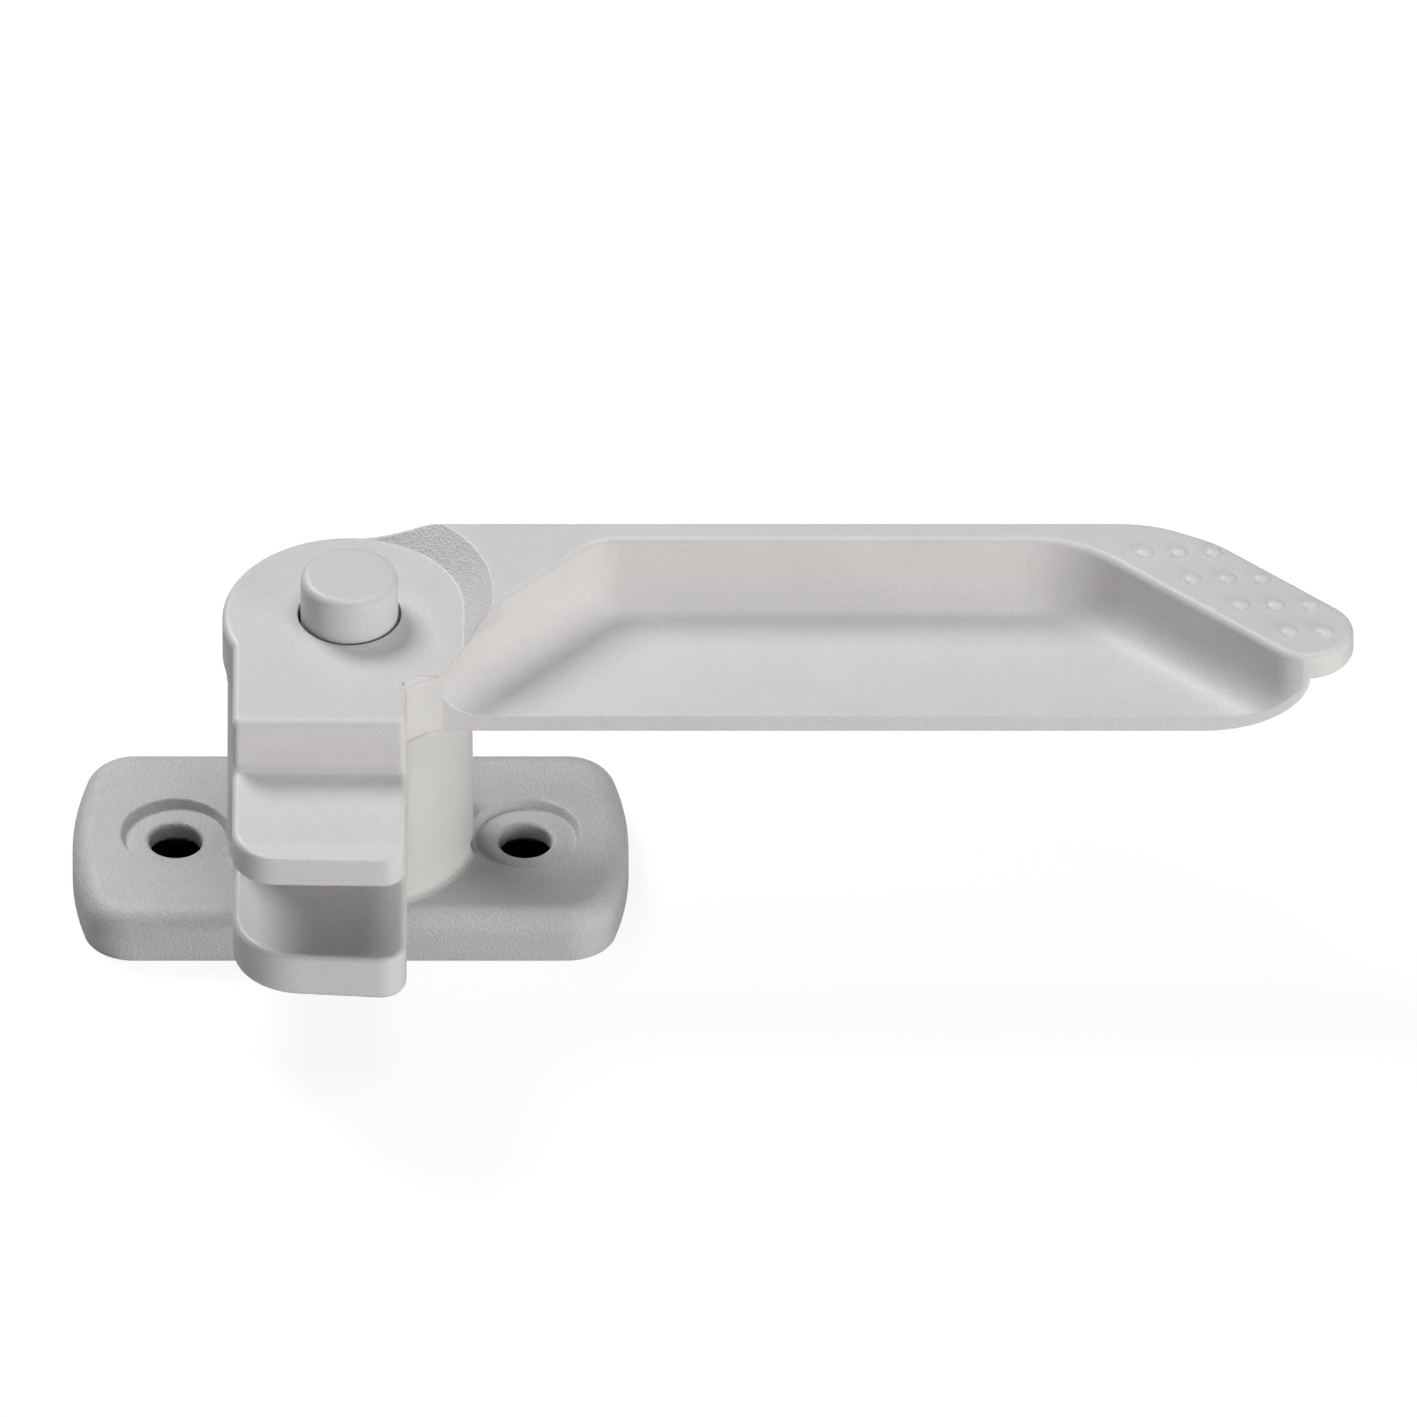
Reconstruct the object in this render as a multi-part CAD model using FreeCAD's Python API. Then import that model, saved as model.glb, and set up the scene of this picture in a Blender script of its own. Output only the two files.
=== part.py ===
import FreeCAD, Part

import math
import os

from FreeCAD import Vector

# Window turn latch: a moulded base with two screw holes and an upright barrel, and a lever
# with a hub, a claw and a scooped handle that turns on the barrel. A push button in the hub
# drops a lock bar inside the barrel.
#
# Millimetres. The origin is where the turning axis meets the mounting face under the base.
# +X runs along the handle, -Y towards the claw's mouth and +Z up, out of the window frame.

# Base plate
PLATE_LENGTH = 55.7
PLATE_DEPTH = 27.8
PLATE_THICKNESS = 5.4
PLATE_END_BULGE = 2.55
PLATE_CORNER_RADIUS = 5.0
PLATE_EDGE_RADIUS = 2.3
PLATE_RIM_WALL = 2.2
PLATE_ROOF = 1.85
PLATE_RIB = 1.2

# Screw holes in the plate
SCREW_SPACING = 35.0
SCREW_HOLE_RADIUS = 2.65
COUNTERBORE_RADIUS = 5.5
COUNTERBORE_FOOT_RADIUS = 5.05
COUNTERBORE_DEPTH = 0.95
SCREW_HOLE_LIP = 0.5
SCREW_BOSS_WALL = 1.2
SCREW_RELIEF_RADIUS = 5.6
COUNTERBORE_RIM_RADIUS = 0.35
COUNTERBORE_RIM_RISE = 0.03

# Barrel that carries the lever
BARREL_RADIUS = 12.2
BARREL_DRAFT = 0.15
BARREL_HEIGHT = 20.0
BARREL_WALL = 1.6
BARREL_FOOT_FILLET = 0.9
BARREL_SINK = 0.5
BARREL_RIM_RADIUS = 0.3
COLLAR_DEPTH = 6.8
STOP_RIB_HEIGHT = 1.5
LEVER_TURN = 90.0
STOP_RIB_SPARE = 1.35

# Lever hub and its spigot
HUB_GAP = 0.2
HUB_RADIUS = 12.7
HUB_HEIGHT = 7.6
HUB_SKIRT_RADIUS = 12.3
HUB_SKIRT_HEIGHT = 0.8
HUB_CHAMFER_HEIGHT = 1.8
HUB_RIM_RADIUS = 0.7
SPIGOT_RADIUS = 7.5
SPIGOT_RUN = 0.05
SPIGOT_SPARE = 0.95
SPIGOT_SLOT_SIDE_GAP = 0.1
GUIDE_LAND_HEIGHT = 4.0
GUIDE_LAND_DROP = 14.2

# Handle and its finger scoop
HANDLE_RISE = 2.3
HANDLE_BACK = 12.1
HANDLE_FRONT = 10.1
HANDLE_REACH = 100.2
FLANGE_THICKNESS = 3.0
FLANGE_LIP = 1.3
HANDLE_EDGE_RADIUS = 0.6
SCOOP_DEPTH = 7.5
SCOOP_FLOOR = 1.8
SCOOP_WALL = 1.3
SCOOP_BACK = 8.9
SCOOP_START = 24.7
SCOOP_END_SETBACK = 27.6
SCOOP_CORNER_RADIUS = 5.0
SCOOP_SWEEP_RADIUS = 13.0
SCOOP_FOOT_RADIUS = 4.0
SCOOP_FLARE_RADIUS = 5.0
SCOOP_FLARE_RUN = 12.0
SCOOP_FLARE_DROP = 0.4
SCOOP_RIM_RADIUS = 0.8
SCOOP_BEND_X = 12.9
SCOOP_BEND_Y = -3.4
SCOOP_BEND_RADIUS = 20.0
SCOOP_MOUTH_X = 9.1
TUB_KEEL_RADIUS = 7.0

# Thumb tab at the handle's end
TAB_ANGLE = 41.65
TAB_SHOULDER_ANGLE = 26.9
TAB_BEND_SETBACK = 13.4
TAB_TIP_RADIUS = 4.8
TAB_BEND_RADIUS = 14.0
DOT_RADIUS = 0.95
DOT_HEIGHT = 0.4
DOT_PITCH = 3.45
DOT_ROW_PITCH = 4.3
DOT_ROW_SHIFT = 4.8
DOT_FIRST_SETBACK = 20.8
DOT_FIRST_Y = 6.9
DOT_ROW_COUNTS = (3, 3, 3, 2)

# Sunken crescent between the hub's disc and the handle
CRESCENT_RADIUS = 11.4
CRESCENT_WIDTH = 2.95
CRESCENT_SHIFT = 0.7

# Claw
CLAW_LEFT = 11.6
CLAW_RIGHT = 5.75
CLAW_FACE = 18.1
CLAW_REACH = 32.6
CLAW_WEB_REACH = 16.8
CLAW_RUN = 0.4
CLAW_EDGE_RADIUS = 0.7
UPPER_JAW_DROP = 5.7
UPPER_JAW_THICKNESS = 3.8
BROW_BREAK_DROP = 2.9
BROW_BREAK_SETBACK = 0.35
JAW_NOSE_DROP = 0.35
JAW_NOSE_LENGTH = 2.6
SLOT_HEIGHT = 9.3
LOWER_JAW_THICKNESS = 4.9
CLAW_BROW_RADIUS = 1.0
CLAW_THROAT_RADIUS = 1.5
UPPER_CORNER_LEFT = 4.5
UPPER_CORNER_RIGHT = 2.3
UPPER_CORNER_SETBACK = 0.4
LOWER_CORNER_LEFT = 7.0
LOWER_CORNER_RIGHT = 2.6
LOWER_CORNER_SETBACK = 1.4

# Push button
BUTTON_RADIUS = 4.88
BUTTON_GAP = 0.32
BUTTON_PROUD = 4.9
BUTTON_HEAD_LENGTH = 10.1
BUTTON_EDGE_RADIUS = 0.9
BUTTON_TRAVEL = 3.5
STEM_RADIUS = 3.0
STEM_RUN = 0.05
TENON_RADIUS = 2.4
TENON_FLATS = 3.2

# Spring round the stem
SPRING_WIRE_RADIUS = 0.3
SPRING_CLEARANCE = 0.4
SPRING_COILS = 5
SPRING_WIRE_SIDES = 6

# Lock bar and its screw
BAR_WIDTH = 4.0
BAR_THICKNESS = 2.5
BAR_END_GAP = 0.4
BAR_SEAT_GAP = 0.05
SCREW_THREAD_RADIUS = 1.1
SCREW_THREAD_LENGTH = 7.0
SCREW_HEAD_RADIUS = 2.3
SCREW_HEAD_HEIGHT = 1.5
SCREW_RECESS_WIDTH = 0.6
SCREW_RECESS_LENGTH = 2.6
SCREW_RECESS_DEPTH = 0.8

# Washer stack under the collar
WASHER_BORE_GAP = 0.1
WASHER_RIM_GAP = 0.2
THRUST_WASHER_THICKNESS = 0.8
DISC_SPRING_THICKNESS = 0.4
DISC_SPRING_CONE = 0.4
RING_GROOVE_DEPTH = 0.5
RING_THICKNESS = 0.8
RING_GROOVE_GAP = 0.05
RING_WIDTH = 1.4
RING_OPENING = 5.0

# Levels and radii that follow from the sizes above
BARREL_TOP = PLATE_THICKNESS + BARREL_HEIGHT
COLLAR_UNDERSIDE = BARREL_TOP - COLLAR_DEPTH
CAVITY_RADIUS = BARREL_RADIUS - BARREL_WALL
STOP_RIB_RADIUS = CAVITY_RADIUS - STOP_RIB_HEIGHT
HUB_BOTTOM = BARREL_TOP + HUB_GAP
HUB_TOP = HUB_BOTTOM + HUB_HEIGHT
HANDLE_TOP = HUB_TOP + HANDLE_RISE
SCOOP_FLOOR_TOP = HANDLE_TOP - SCOOP_DEPTH
SCOOP_END = HANDLE_REACH - SCOOP_END_SETBACK
TAB_BEND_X = HANDLE_REACH - TAB_BEND_SETBACK
DOT_FIRST_X = HANDLE_REACH - DOT_FIRST_SETBACK
TUB_BOTTOM = SCOOP_FLOOR_TOP - SCOOP_FLOOR
BUTTON_BORE_RADIUS = BUTTON_RADIUS + BUTTON_GAP
SPRING_SEAT = HUB_TOP - GUIDE_LAND_DROP
LAND_BOTTOM = SPRING_SEAT - GUIDE_LAND_HEIGHT
BUTTON_TOP = HUB_TOP + BUTTON_PROUD
HEAD_BOTTOM = BUTTON_TOP - BUTTON_HEAD_LENGTH
BAR_TOP = LAND_BOTTOM - BAR_SEAT_GAP
BAR_BOTTOM = BAR_TOP - BAR_THICKNESS
BAR_REACH = CAVITY_RADIUS - BAR_END_GAP
PRESSED_BAR_BOTTOM = BAR_BOTTOM - BUTTON_TRAVEL
SPIGOT_BOTTOM = PRESSED_BAR_BOTTOM - SPIGOT_SPARE
STOP_RIB_BOTTOM = PRESSED_BAR_BOTTOM - STOP_RIB_SPARE
WASHER_BORE = SPIGOT_RADIUS + WASHER_BORE_GAP
WASHER_RADIUS = STOP_RIB_RADIUS - WASHER_RIM_GAP
WASHER_BOTTOM = COLLAR_UNDERSIDE - THRUST_WASHER_THICKNESS
RING_TOP = WASHER_BOTTOM - DISC_SPRING_THICKNESS - DISC_SPRING_CONE
RING_BORE = SPIGOT_RADIUS - RING_GROOVE_DEPTH
UPPER_JAW_TOP = HUB_TOP - UPPER_JAW_DROP
UPPER_JAW_BOTTOM = UPPER_JAW_TOP - UPPER_JAW_THICKNESS
LOWER_JAW_TOP = UPPER_JAW_BOTTOM - SLOT_HEIGHT
LOWER_JAW_BOTTOM = LOWER_JAW_TOP - LOWER_JAW_THICKNESS

# How far a cutting shape runs past the surface that it cuts
OVERCUT = 1.0
FAR = 200.0


def plan(u, v):
    """Put an outline's point in the XY plane."""
    return Vector(u, v, 0)


def side(u, v):
    """Put a point at u in front of the axis and v up, in the YZ plane."""
    return Vector(0, -u, v)


def front(u, v):
    """Put a point in the XZ plane."""
    return Vector(u, 0, v)


def corner_cut(before, corner, after, radius):
    """Return where an arc of this radius leaves and rejoins the two sides of a corner, and its middle."""
    to_before = (before - corner).normalize()
    to_after = (after - corner).normalize()
    half_angle = to_before.getAngle(to_after) / 2
    tangent_length = radius / math.tan(half_angle)
    bisector = (to_before + to_after).normalize()
    start = corner + to_before * tangent_length
    end = corner + to_after * tangent_length
    centre = corner + bisector * (radius / math.sin(half_angle))
    middle = centre - bisector * radius
    return start, middle, end


def rounded_face(corners, place=plan):
    """Make a face from corners given as (u, v, corner radius)."""
    points = [place(u, v) for u, v, radius in corners]
    stretches = []
    for index, (u, v, radius) in enumerate(corners):
        corner = points[index]
        if radius == 0:
            stretches.append((corner, None, corner))
            continue
        following = points[(index + 1) % len(points)]
        stretches.append(corner_cut(points[index - 1], corner, following, radius))
    edges = []
    for index, (start, middle, end) in enumerate(stretches):
        if middle is not None:
            edges.append(Part.Arc(start, middle, end).toShape())
        next_start = stretches[(index + 1) % len(stretches)][0]
        if (next_start - end).Length > 1e-6:
            edges.append(Part.LineSegment(end, next_start).toShape())
    return Part.Face(Part.Wire(edges))


def slab(corners, bottom, top):
    """Extrude an outline in plan between two levels."""
    face = rounded_face(corners)
    face.translate(Vector(0, 0, bottom))
    return face.extrude(Vector(0, 0, top - bottom))


def side_slab(corners, left, right):
    """Extrude an outline seen from the side between two places along X."""
    face = rounded_face(corners, side)
    face.translate(Vector(left, 0, 0))
    return face.extrude(Vector(right - left, 0, 0))


def turned(corners):
    """Revolve an outline of (radius, height, corner radius) about the Z axis."""
    return rounded_face(corners, front).revolve(Vector(0, 0, 0), Vector(0, 0, 1), 360)


def disc(radius, bottom, top, x=0.0, y=0.0):
    """Make an upright cylinder."""
    return Part.makeCylinder(radius, top - bottom, Vector(x, y, bottom))


def block(x_size, y_size, bottom, top):
    """Make a box centred on the Z axis."""
    corner = Vector(-x_size / 2, -y_size / 2, bottom)
    return Part.makeBox(x_size, y_size, top - bottom, corner)


def edges_where(shape, test):
    """List a shape's edges whose box passes a test."""
    return [edge for edge in shape.Edges if test(edge.BoundBox)]


def flat_edges_at(shape, level):
    """List the edges that lie flat at one level."""
    return edges_where(shape, lambda box: abs(box.ZMin - level) < 1e-4 and abs(box.ZMax - level) < 1e-4)


def upright_edges(shape):
    """List the straight edges that run along Z."""
    return edges_where(shape, lambda box: box.XLength < 1e-4 and box.YLength < 1e-4)


def plate_face(inset):
    """Make the plate's outline with bowed ends, moved inwards by an inset."""
    half_depth = PLATE_DEPTH / 2 - inset
    half_length = PLATE_LENGTH / 2 - inset
    shoulder = half_length - PLATE_END_BULGE
    places = ((shoulder, half_depth), (shoulder, -half_depth), (-shoulder, -half_depth), (-shoulder, half_depth))
    corners = [Vector(x, y, 0) for x, y in places]
    edges = [
        Part.Arc(corners[0], Vector(half_length, 0, 0), corners[1]).toShape(),
        Part.LineSegment(corners[1], corners[2]).toShape(),
        Part.Arc(corners[2], Vector(-half_length, 0, 0), corners[3]).toShape(),
        Part.LineSegment(corners[3], corners[0]).toShape(),
    ]
    return Part.Face(Part.Wire(edges))


def plate_slab(inset, height):
    """Extrude the plate's outline from the mounting face, with its upright corners rounded."""
    solid = plate_face(inset).extrude(Vector(0, 0, height))
    return solid.makeFillet(PLATE_CORNER_RADIUS - inset, upright_edges(solid))


def make_plate():
    """Make the plate with its rounded top edge, hollow underneath with bosses and ribs."""
    plate = plate_slab(0, PLATE_THICKNESS)
    plate = plate.makeFillet(PLATE_EDGE_RADIUS, flat_edges_at(plate, PLATE_THICKNESS))
    hollow_height = PLATE_THICKNESS - COUNTERBORE_DEPTH - PLATE_ROOF
    hollow = plate_slab(PLATE_RIM_WALL, hollow_height)
    keep = [disc(BARREL_RADIUS, 0, hollow_height)]
    for x in screw_places():
        keep.append(disc(SCREW_RELIEF_RADIUS + SCREW_BOSS_WALL, 0, hollow_height, x))
    keep.append(block(PLATE_LENGTH, PLATE_RIB, 0, hollow_height))
    relief = [disc(SCREW_RELIEF_RADIUS, -OVERCUT, hollow_height, x) for x in screw_places()]
    return plate.cut([hollow.cut(keep)] + relief)


def screw_places():
    """Give the X places of the two screw holes."""
    return (-SCREW_SPACING / 2, SCREW_SPACING / 2)


def make_screw_cut(x):
    """Make the cutting shape of one screw hole with its counterbore and rounded lip."""
    floor = PLATE_THICKNESS - COUNTERBORE_DEPTH
    rise = BARREL_FOOT_FILLET
    rim = COUNTERBORE_RADIUS + 2 * COUNTERBORE_RIM_RADIUS
    profile = [
        (0, -OVERCUT, 0),
        (SCREW_HOLE_RADIUS, -OVERCUT, 0),
        (SCREW_HOLE_RADIUS, floor, SCREW_HOLE_LIP),
        (COUNTERBORE_FOOT_RADIUS, floor, 0),
        (COUNTERBORE_RADIUS, PLATE_THICKNESS, COUNTERBORE_RIM_RADIUS),
        (rim, PLATE_THICKNESS + COUNTERBORE_RIM_RISE, 0),
        (rim, PLATE_THICKNESS + rise, 0),
        (0, PLATE_THICKNESS + rise, 0),
    ]
    cut = turned(profile)
    cut.translate(Vector(x, 0, 0))
    return cut


def make_barrel():
    """Make the drafted barrel, from inside the plate up to its rounded rim."""
    foot_radius = BARREL_RADIUS + BARREL_DRAFT
    bottom = PLATE_THICKNESS - BARREL_SINK
    barrel = Part.makeCone(foot_radius, BARREL_RADIUS, BARREL_TOP - bottom, Vector(0, 0, bottom))
    return barrel.makeFillet(BARREL_RIM_RADIUS, flat_edges_at(barrel, BARREL_TOP))


def foot_edges(body):
    """List the edges where the barrel meets the plate's top, partly on its rounded edge."""
    edges = []
    for edge in body.Edges:
        ends = [Vector(vertex.X, vertex.Y, 0).Length for vertex in edge.Vertexes]
        low = edge.BoundBox.ZMin > PLATE_THICKNESS - BARREL_SINK
        high = edge.BoundBox.ZMax < PLATE_THICKNESS + BARREL_FOOT_FILLET
        if low and high and all(abs(end - BARREL_RADIUS) < BARREL_DRAFT + 0.01 for end in ends):
            edges.append(edge)
    return edges


def make_barrel_bore():
    """Make the cutting shape of the barrel's inside: the cavity and the collar's bearing bore."""
    cavity = disc(CAVITY_RADIUS, -OVERCUT, COLLAR_UNDERSIDE)
    bearing = disc(SPIGOT_RADIUS + SPIGOT_RUN, COLLAR_UNDERSIDE - OVERCUT, BARREL_TOP + OVERCUT)
    return cavity.fuse(bearing)


def sector(radius, bottom, top, start_angle, sweep_angle):
    """Make an upright wedge of a disc between two angles in degrees."""
    wedge = Part.makeCylinder(radius, top - bottom, Vector(0, 0, bottom), Vector(0, 0, 1), sweep_angle)
    wedge.rotate(Vector(0, 0, 0), Vector(0, 0, 1), start_angle)
    return wedge


def make_stop_ribs():
    """Make the two ribs in the barrel between which the lock bar's ends swing a quarter turn."""
    bar_half_angle = math.degrees(math.asin(BAR_WIDTH / 2 / STOP_RIB_RADIUS))
    play_angle = math.degrees(math.asin(SPIGOT_SLOT_SIDE_GAP / STOP_RIB_RADIUS))
    start = LEVER_TURN + bar_half_angle + play_angle
    sweep = 180 - start - bar_half_angle - play_angle
    outer_radius = CAVITY_RADIUS + BARREL_WALL / 2
    ribs = []
    for turn in (0, 180):
        outer = sector(outer_radius, STOP_RIB_BOTTOM, COLLAR_UNDERSIDE, start + turn, sweep)
        inner = disc(STOP_RIB_RADIUS, STOP_RIB_BOTTOM - OVERCUT, COLLAR_UNDERSIDE + OVERCUT)
        ribs.append(outer.cut(inner))
    return ribs


def make_base():
    """Make the base: plate and barrel as one moulding."""
    body = make_plate().fuse(make_barrel()).removeSplitter()
    body = body.makeFillet(BARREL_FOOT_FILLET, foot_edges(body))
    body = body.cut([make_barrel_bore()] + [make_screw_cut(x) for x in screw_places()])
    return body.fuse(make_stop_ribs()).removeSplitter()


def make_hub():
    """Make the lever's hub, a disc whose skirt tapers in to meet the barrel."""
    profile = [
        (0, HUB_BOTTOM, 0),
        (HUB_SKIRT_RADIUS, HUB_BOTTOM, 0),
        (HUB_SKIRT_RADIUS, HUB_BOTTOM + HUB_SKIRT_HEIGHT, 0),
        (HUB_RADIUS, HUB_BOTTOM + HUB_SKIRT_HEIGHT + HUB_CHAMFER_HEIGHT, 0),
        (HUB_RADIUS, HUB_TOP, HUB_RIM_RADIUS),
        (0, HUB_TOP, 0),
    ]
    return turned(profile)


def make_spigot():
    """Make the spigot that turns in the collar, with its ring groove, solid inside."""
    groove = disc(SPIGOT_RADIUS + OVERCUT, ring_groove_bottom(), RING_TOP + RING_GROOVE_GAP)
    groove = groove.cut(disc(RING_BORE, ring_groove_bottom() - OVERCUT, RING_TOP + OVERCUT))
    return disc(SPIGOT_RADIUS, SPIGOT_BOTTOM, HUB_BOTTOM + OVERCUT).cut(groove)


def ring_groove_bottom():
    """Give the level of the groove's lower wall, on which the retaining ring rests."""
    return RING_TOP - RING_THICKNESS


def make_lever_bore():
    """Make the cutting shape inside the lever: button bore, stem guide and the lock bar's slots."""
    chamber = disc(BUTTON_BORE_RADIUS, SPRING_SEAT, HANDLE_TOP + OVERCUT)
    guide = disc(STEM_RADIUS + STEM_RUN, LAND_BOTTOM - OVERCUT, SPRING_SEAT + OVERCUT)
    well = disc(BUTTON_BORE_RADIUS, SPIGOT_BOTTOM - OVERCUT, LAND_BOTTOM)
    slot_width = BAR_WIDTH + 2 * SPIGOT_SLOT_SIDE_GAP
    slots = block(4 * SPIGOT_RADIUS, slot_width, SPIGOT_BOTTOM - OVERCUT, LAND_BOTTOM)
    return [chamber, guide, well, slots]


def tab_corner(x):
    """Give a point on the thumb tab's slanting back edge."""
    tip_y = -HANDLE_FRONT
    tip_x = HANDLE_REACH - TAB_TIP_RADIUS + TAB_TIP_RADIUS / math.tan(math.radians(TAB_ANGLE / 2))
    return tip_y + (tip_x - x) * math.tan(math.radians(TAB_ANGLE)), tip_x


def flange_corners():
    """List the corners of the handle's flat top: the flange round the scoop and the thumb tab."""
    bend_y, tip_x = tab_corner(TAB_BEND_X)
    shoulder_x = TAB_BEND_X - (HANDLE_BACK - bend_y) / math.tan(math.radians(TAB_SHOULDER_ANGLE))
    return [
        (0, HANDLE_BACK, 0),
        (shoulder_x, HANDLE_BACK, TAB_BEND_RADIUS),
        (TAB_BEND_X, bend_y, TAB_BEND_RADIUS),
        (tip_x, -HANDLE_FRONT, TAB_TIP_RADIUS),
        (0, -HANDLE_FRONT, 0),
    ]


def scoop_right(y, wall=0.0):
    """Give the X place of the scoop's slanting right wall at one Y, moved out by a wall."""
    slope = math.tan(math.radians(TAB_ANGLE))
    out = wall / math.sin(math.radians(TAB_ANGLE))
    return SCOOP_END + out + (SCOOP_BACK - y) / slope


def make_tub():
    """Make the body under the flange, whose bottom edges are rounded like a boat's."""
    back = HANDLE_BACK - FLANGE_LIP
    corners = [
        (0, back, 0),
        (scoop_right(back, SCOOP_WALL), back, SCOOP_SWEEP_RADIUS),
        (scoop_right(-HANDLE_FRONT, SCOOP_WALL), -HANDLE_FRONT, 0),
        (0, -HANDLE_FRONT, 0),
    ]
    tub = slab(corners, TUB_BOTTOM, HANDLE_TOP - FLANGE_THICKNESS / 2)
    bottom = flat_edges_at(tub, TUB_BOTTOM)
    keel = [edge for edge in bottom if edge.BoundBox.YMax > 0 and edge.BoundBox.XMax > 1]
    return tub.makeFillet(TUB_KEEL_RADIUS, keel)


def make_scoop():
    """Make the cutting shape of the finger scoop, open towards the front."""
    past_front = -HANDLE_FRONT - 5 * OVERCUT
    slope = (SCOOP_BEND_X - SCOOP_MOUTH_X) / (SCOOP_BEND_Y + HANDLE_FRONT)
    mouth_x = SCOOP_MOUTH_X + slope * (past_front + HANDLE_FRONT)
    flare_x = scoop_right(-HANDLE_FRONT) + SCOOP_FLARE_RUN
    corners = [
        (SCOOP_START, SCOOP_BACK, SCOOP_CORNER_RADIUS),
        (SCOOP_END, SCOOP_BACK, SCOOP_SWEEP_RADIUS),
        (scoop_right(-HANDLE_FRONT), -HANDLE_FRONT, SCOOP_FLARE_RADIUS),
        (flare_x, -HANDLE_FRONT - SCOOP_FLARE_DROP, 0),
        (flare_x, past_front, 0),
        (mouth_x, past_front, 0),
        (SCOOP_BEND_X, SCOOP_BEND_Y, SCOOP_BEND_RADIUS),
    ]
    scoop = slab(corners, SCOOP_FLOOR_TOP, HANDLE_TOP + OVERCUT)
    foot = flat_edges_at(scoop, SCOOP_FLOOR_TOP)
    foot = [edge for edge in foot if edge.BoundBox.YMax > past_front + 1e-3]
    return scoop.makeFillet(SCOOP_FOOT_RADIUS, foot)


def make_crescent():
    """Make the cutting shape over the hub's disc, whose rim slopes up to the handle's top."""
    rise = HANDLE_RISE + OVERCUT
    spread = CRESCENT_WIDTH * rise / HANDLE_RISE
    centre = Vector(0, CRESCENT_SHIFT, HUB_TOP)
    bowl = Part.makeCone(CRESCENT_RADIUS, CRESCENT_RADIUS + spread, rise, centre)
    outline = [
        Vector(-CRESCENT_RADIUS, CRESCENT_SHIFT, HUB_TOP),
        Vector(CRESCENT_RADIUS, CRESCENT_SHIFT, HUB_TOP),
        Vector(CRESCENT_RADIUS + spread, CRESCENT_SHIFT, HUB_TOP + rise),
        Vector(-CRESCENT_RADIUS - spread, CRESCENT_SHIFT, HUB_TOP + rise),
    ]
    trough = Part.Face(Part.makePolygon(outline + outline[:1]))
    return bowl.fuse(trough.extrude(Vector(0, -3 * CRESCENT_RADIUS, 0)))


def make_dots():
    """Make the raised grip dots on the thumb tab, in rows that step along its slant."""
    sphere_radius = (DOT_RADIUS ** 2 + DOT_HEIGHT ** 2) / (2 * DOT_HEIGHT)
    sink = FLANGE_THICKNESS / 2
    dots = []
    for row, count in enumerate(DOT_ROW_COUNTS):
        y = DOT_FIRST_Y - row * DOT_ROW_PITCH
        for column in range(count):
            x = DOT_FIRST_X + row * DOT_ROW_SHIFT + column * DOT_PITCH
            dome = Part.makeSphere(sphere_radius, Vector(x, y, HANDLE_TOP + DOT_HEIGHT - sphere_radius))
            dots.append(dome.common(disc(DOT_RADIUS, HANDLE_TOP - sink, HANDLE_TOP + OVERCUT, x, y)))
    return dots


def make_handle():
    """Make the handle with its flange, thumb tab, finger scoop and grip dots."""
    flange = slab(flange_corners(), HANDLE_TOP - FLANGE_THICKNESS, HANDLE_TOP)
    underside = HANDLE_TOP - FLANGE_THICKNESS
    lower = edges_where(flange, lambda box: box.ZMax < underside + 1e-4 and box.XMax > 1)
    flange = flange.makeFillet(HANDLE_EDGE_RADIUS, lower)
    handle = flange.fuse(make_tub()).cut(make_scoop()).removeSplitter()
    upper = edges_where(handle, lambda box: box.ZMin > HANDLE_TOP - 1e-4 and box.XMax > 1)
    handle = handle.makeFillet(SCOOP_RIM_RADIUS, upper)
    return handle.fuse(make_dots()).cut(make_crescent())


def make_claw():
    """Make the claw: an upper jaw under a stepped brow, a web and a lower jaw."""
    side_corners = [
        (0, HUB_TOP, 0),
        (CLAW_FACE - BROW_BREAK_SETBACK, HUB_TOP, CLAW_BROW_RADIUS),
        (CLAW_FACE, HUB_TOP - BROW_BREAK_DROP, 0),
        (CLAW_FACE, UPPER_JAW_TOP, CLAW_BROW_RADIUS),
        (CLAW_REACH, UPPER_JAW_TOP, 0),
        (CLAW_REACH, UPPER_JAW_BOTTOM, 0),
        (CLAW_WEB_REACH, UPPER_JAW_BOTTOM, CLAW_THROAT_RADIUS),
        (CLAW_WEB_REACH, LOWER_JAW_TOP, CLAW_THROAT_RADIUS),
        (CLAW_REACH, LOWER_JAW_TOP, 0),
        (CLAW_REACH, LOWER_JAW_BOTTOM, 0),
        (0, LOWER_JAW_BOTTOM, 0),
    ]
    blank = side_slab(side_corners, -CLAW_LEFT, CLAW_RIGHT)
    split = (UPPER_JAW_BOTTOM + LOWER_JAW_TOP) / 2
    upper_plan = claw_plan(UPPER_CORNER_LEFT, UPPER_CORNER_RIGHT, UPPER_CORNER_SETBACK)
    lower_plan = claw_plan(LOWER_CORNER_LEFT, LOWER_CORNER_RIGHT, LOWER_CORNER_SETBACK)
    upper = blank.common(slab(upper_plan, split, HUB_TOP))
    lower = blank.common(slab(lower_plan, LOWER_JAW_BOTTOM, split))
    claw = upper.fuse(lower).removeSplitter()
    claw = claw.makeFillet(CLAW_EDGE_RADIUS, claw_edges(claw))
    hollow = disc(BARREL_RADIUS + BARREL_DRAFT + CLAW_RUN, LOWER_JAW_BOTTOM - OVERCUT, HUB_BOTTOM)
    return claw.cut([hollow, make_nose_cut()])


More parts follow.
